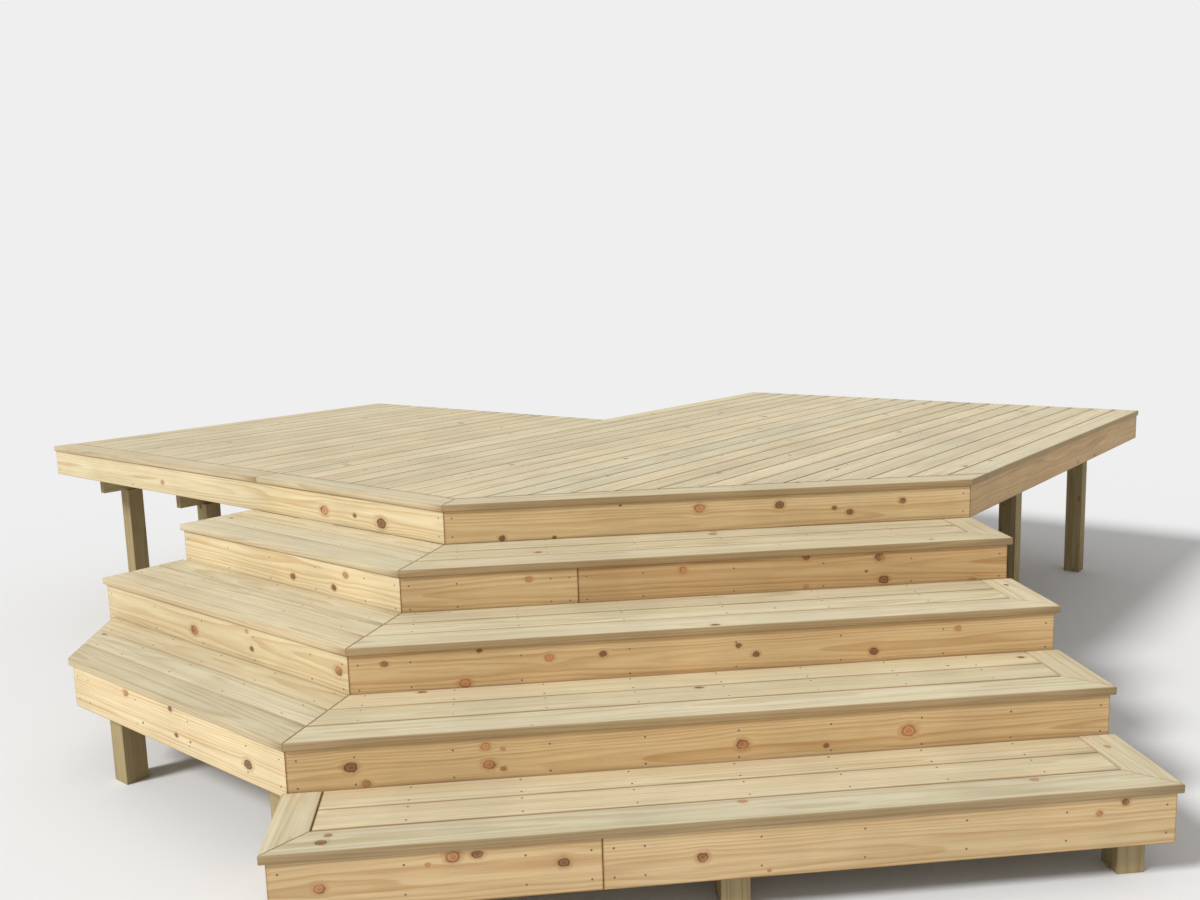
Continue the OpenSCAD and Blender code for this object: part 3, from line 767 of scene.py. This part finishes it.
def nail_pairs(board, t, joists, reach):
    """s of each pair of nails along the board, where t is how far across its two nails lie. The crossing may
    lie reach beyond the joist's end."""
    start, stop = board.ends(t)
    found = [] if board.width >= board.depth else [start + END_NAIL, stop - END_NAIL]
    for joist in joists:
        if abs(board.axes[0, :2] @ joist.axes[1, :2]) > CROSSES:
            s, r = crossing(board, joist, board.t0 + t)
            first, last = joist.ends(joist.width / 2)
            on_joist = (r > first - reach) & (r < last + reach)
            on_board = (s > start + CLEAR_CUT) & (s < stop - CLEAR_CUT)
            apart = all(abs(s - other).max() > APART for other in found)
            if on_joist.all() and on_board.all() and apart:
                found.append(s)
    return found


def nail_spots(boards, joists, reach):
    """Places and outward directions of the nails that hold some boards to some joists. Flat boards are
    nailed from above, and upright ones from the side that faces away from the joists."""
    spots, outward = [], []
    inside = np.mean([joist.middle for joist in joists], axis=0)
    for board in boards:
        if board.width >= board.depth:
            t = np.array([NAIL_EDGE, board.width - NAIL_EDGE])
            c = np.full(2, board.depth)
            out = board.axes[2]
        else:
            behind = (inside - board.middle) @ board.axes[1] > 0
            t = np.full(2, 0.0 if behind else board.width)
            c = board.depth * np.array(RISER_ROWS)
            out = board.axes[1] * (-1 if behind else 1)
        for s in nail_pairs(board, t, joists, reach):
            spots.append(board.place(s, t, c))
            outward.append(np.tile(out, (2, 1)))
    return np.concatenate(spots), np.concatenate(outward)


# %% [markdown]
# ## Nail heads
# A galvanised nail has a flat, slightly domed head of 8 mm. It is a small profile turned round the nail's
# axis. All the heads of a piece are worked out at once, by adding a nail dimension to the arrays. There are
# hundreds of them, so each has ten sides and no more. Some are driven a little deeper than others.

# %% Nail heads
HEAD = np.array([[0, -0.8], [4.0, -0.8], [4.0, 0.25], [3.3, 0.55], [0, 0.7]]) / 1000
SIDES = 10
DRIVEN = -0.0003, 0.0001
HEAD_CRISP = math.radians(40)


def nail_heads(name, spots, outward, material, seed):
    """point = spot + r (cos e1 + sin e2) + h n for each profile point (r, h), where n points outwards and e1
    and e2 are square to it. The first and last profile points are poles."""
    rng = np.random.default_rng(seed)
    along = np.where(abs(outward[:, 2:]) > 0.5, [[1.0, 0, 0]], [[0, 0, 1.0]])
    e1 = np.cross(outward, along)
    e2 = np.cross(outward, e1)
    turn = np.linspace(0, 2 * math.pi, SIDES, endpoint=False) + rng.uniform(0, 1, (len(spots), 1))
    ring = np.cos(turn)[..., None] * e1[:, None] + np.sin(turn)[..., None] * e2[:, None]
    r, h = HEAD[1:-1].T
    spots = spots + rng.uniform(*DRIVEN, (len(spots), 1)) * outward
    rows = r[:, None, None] * ring[:, None] + h[:, None, None] * outward[:, None, None]
    poles = HEAD[[0, -1], 1][:, None] * outward[:, None]
    points = spots[:, None] + np.concatenate([rows.reshape(len(spots), -1, 3), poles], axis=1)
    k = np.arange(SIDES)
    after = (k + 1) % SIDES
    band = np.stack([k, after, after + SIDES, k + SIDES], axis=1)
    quads = np.concatenate([band + i * SIDES for i in range(len(r) - 1)])
    foot, last = SIDES * len(r), SIDES * (len(r) - 1)
    foot_fan = np.stack([after, k, np.full(SIDES, foot)], axis=1)
    crown_fan = np.stack([k + last, after + last, np.full(SIDES, foot + 1)], axis=1)
    tris = np.concatenate([foot_fan, crown_fan])
    shift = (np.arange(len(spots)) * points.shape[1])[:, None, None]
    faces = (quads + shift).reshape(-1, 4).tolist() + (tris + shift).reshape(-1, 3).tolist()
    mesh = bpy.data.meshes.new(name)
    mesh.from_pydata(points.reshape(-1, 3), [], faces)
    mesh.shade_smooth()
    mesh.set_sharp_from_angle(angle=HEAD_CRISP)
    mesh.materials.append(material)
    piece = bpy.data.objects.new(name, mesh)
    bpy.context.scene.collection.objects.link(piece)
    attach(piece, "root")


# %% [markdown]
# ## Zinc
# The nails are dipped in zinc, which dulls to grey in patches. The patches also change how sharply the
# metal reflects, and that keeps so many small heads from flashing alike.

# %% Nail finish
DARK_ZINC = paint(92, 88, 80)
PALE_ZINC = paint(150, 147, 138)


def zinc(name):
    """Dull zinc: grey in patches a few millimetres wide, rougher where it is lighter."""
    f = Finish(name)
    here = f.add("TexCoord", out="Object")
    patch = f.add("TexNoise", {"Vector": here, "Scale": 450.0, "Detail": 2.0})
    f.join(f.blend(f.ramp(patch, 0.3, 0.7), DARK_ZINC, PALE_ZINC), f.shader["Base Color"])
    f.join(f.ramp(patch, 0.3, 0.7, 0.42, 0.66), f.shader["Roughness"])
    f.shader["Metallic"].default_value = 0.7
    return f.material


nail_zinc = zinc("nail_zinc")
print("the nails' finish has", len(nail_zinc.node_tree.nodes), "nodes")

# %% [markdown]
# ## Driving the nails
# The nails of one step or of the deck are one piece for its flat boards and one for its upright boards. A
# riser's joists end a little behind its line, so its crossings may lie up to 90 mm beyond a joist's end.

# %% Drive the nails
RISER_REACH = 0.09


def group(node):
    """The step that a node belongs to, such as step_1, or deck."""
    return node[:len("step_1")] if node.startswith("step") else "deck"


def group_timbers(group_name, some_nodes):
    """The timbers of those nodes that belong to a group."""
    return [timber for node in some_nodes if group(node) == group_name for timber in timbers(node)]


total = 0
nailed_nodes = [n for n in joist_nodes if "bearers" not in n]
for i, g in enumerate(sorted({group(n) for n in nodes})):
    joists = group_timbers(g, nailed_nodes)
    for kind, some_nodes, reach in (("laid", board_nodes, 0.0), ("fixed", riser_nodes, RISER_REACH)):
        spots, outward = nail_spots(group_timbers(g, some_nodes), joists, reach)
        nail_heads(f"nails_{kind}_{g}", spots, outward, nail_zinc, SEEDS["nails"] + i)
        total += len(spots)
print(total, "nails")

# %% [markdown]
# ## Floor and backdrop
# One very wide pale floor carries the shadow. Far from the stairs it has the same brightness as the world
# shows to the camera, so no horizon line appears.

# %% Stage
WORLD_LEVEL = 0.48
FLOOR = 0.86
FLOOR_REACH = 400.0
floor_finish = Finish("floor_paint")
floor_finish.shader["Base Color"].default_value = (FLOOR, FLOOR, FLOOR, 1)
floor_finish.shader["Roughness"].default_value = 0.9
floor_finish.shader["Specular IOR Level"].default_value = 0.0
floor_mesh = bpy.data.meshes.new("floor")
floor_corners = FLOOR_REACH * np.array([(-1, -1, 0), (1, -1, 0), (1, 1, 0), (-1, 1, 0)])
floor_mesh.from_pydata(floor_corners, [], [(0, 1, 2, 3)])
floor_mesh.materials.append(floor_finish.material)
floor = bpy.data.objects.new("floor", floor_mesh)
bpy.context.scene.collection.objects.link(floor)
print("the floor reaches", FLOOR_REACH, "m each way")

# %% [markdown]
# ## Light
# A soft key comes from high on the left, where the sun stands: the wing's risers are lit, the flight's
# risers are half lit and the deck's right side stays dark. The world fills the rest evenly. Together they
# light a level surface at about 1, so that a colour renders as it is written. The camera sees the world at
# the brightness of the far floor, and so do mirrored and see-through rays.

# %% Key light and world
KEY_FROM = Vector((-0.85, -0.42, 0.80))
KEY = 2.55
KEY_WIDTH = math.radians(14)
lamp = bpy.data.lights.new("key", "SUN")
lamp.energy = KEY
lamp.angle = KEY_WIDTH
key = bpy.data.objects.new("key", lamp)
key.rotation_mode = "QUATERNION"
key.rotation_quaternion = KEY_FROM.to_track_quat("Z", "Y")
bpy.context.scene.collection.objects.link(key)

world = bpy.data.worlds.new("studio")
world.use_nodes = True
bpy.context.scene.world = world
links, parts = world.node_tree.links, world.node_tree.nodes
light = parts["Background"]
light.inputs["Color"].default_value = (1, 1, 1, 1)
light.inputs["Strength"].default_value = WORLD_LEVEL
shown = parts.new("ShaderNodeBackground")
far_floor = FLOOR * (WORLD_LEVEL + KEY * KEY_FROM.normalized().z / math.pi)
shown.inputs["Color"].default_value = (far_floor, far_floor, far_floor, 1)
rays = parts.new("ShaderNodeLightPath")
seen = rays.outputs["Is Camera Ray"]
for ray in ("Is Glossy Ray", "Is Transmission Ray"):
    either = parts.new("ShaderNodeMath")
    either.operation = "MAXIMUM"
    links.new(seen, either.inputs[0])
    links.new(rays.outputs[ray], either.inputs[1])
    seen = either.outputs[0]
mix = parts.new("ShaderNodeMixShader")
links.new(seen, mix.inputs[0])
links.new(light.outputs[0], mix.inputs[1])
links.new(shown.outputs[0], mix.inputs[2])
links.new(mix.outputs[0], parts["World Output"].inputs["Surface"])
print("far floor shows at", round(far_floor, 3))

# %% [markdown]
# ## Camera
# The camera stands where the photograph was taken, a little over three metres in front of the bottom step
# and about two metres above the posts' feet. Its place, turn and tilt come from fitting the steps' straight
# edges. The place is counted from the point that lies plumb under the deck's corner, one rise below the
# bottom tread. The focal length was fitted in pixels of the photograph, so its share of the picture's width
# gives the lens.

# %% Camera at the photograph's view
PHOTO_WIDTH = 1200
FOCAL_PIXELS = 1118.357
SENSOR_WIDTH = 36
UNDER_CORNER = Vector((0.40898, 1.575, 0.165))
FROM_CORNER = Vector((0.232228, -5.023434, 1.920757))
YAW, PITCH, ROLL = (math.radians(a) for a in (5.6267, 8.72938, -1.690403))
lens = bpy.data.cameras.new("view")
lens.sensor_width = SENSOR_WIDTH
lens.lens = FOCAL_PIXELS / PHOTO_WIDTH * SENSOR_WIDTH
camera = bpy.data.objects.new("view", lens)
ahead = Vector((math.sin(YAW) * math.cos(PITCH), math.cos(YAW) * math.cos(PITCH), -math.sin(PITCH)))
level = Vector((math.cos(YAW), -math.sin(YAW), 0))
upright = level.cross(ahead)
right = level * math.cos(ROLL) + upright * math.sin(ROLL)
up = -level * math.sin(ROLL) + upright * math.cos(ROLL)
place = UNDER_CORNER + FROM_CORNER
camera.matrix_world = Matrix.Translation(place) @ Matrix((right, up, -ahead)).transposed().to_4x4()
bpy.context.scene.collection.objects.link(camera)
bpy.context.scene.camera = camera
bpy.context.scene.view_settings.view_transform = "Standard"
print("camera at", [round(x, 3) for x in place])
